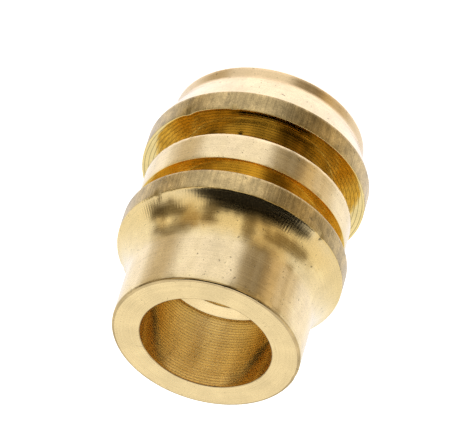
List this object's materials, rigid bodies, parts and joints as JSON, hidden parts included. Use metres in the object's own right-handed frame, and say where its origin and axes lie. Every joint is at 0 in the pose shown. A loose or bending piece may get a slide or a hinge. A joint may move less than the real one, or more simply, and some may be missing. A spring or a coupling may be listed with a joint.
{
  "type": "rigid sleeve coupling",
  "caption": "One-piece turned brass sleeve with a stepped bore, two plain collars, a land between two deep grooves, a flared spigot at one end and a cone with a short pilot at the other.",
  "frame": {"origin": "centre of the tail's end face, on the turning axis, where the sleeve stands on a surface", "axes": "+Z along the turning axis, from the tail to the tube socket; the part is round, so X and Y are free"},
  "size_m": [0.021, 0.021, 0.0256],
  "materials": {
    "brass": "satin as turned, with raw drawn-bar skin on the two collars"
  },
  "bodies": {
    "root": {"sleeve_body": "brass"}
  },
  "joints": []
}
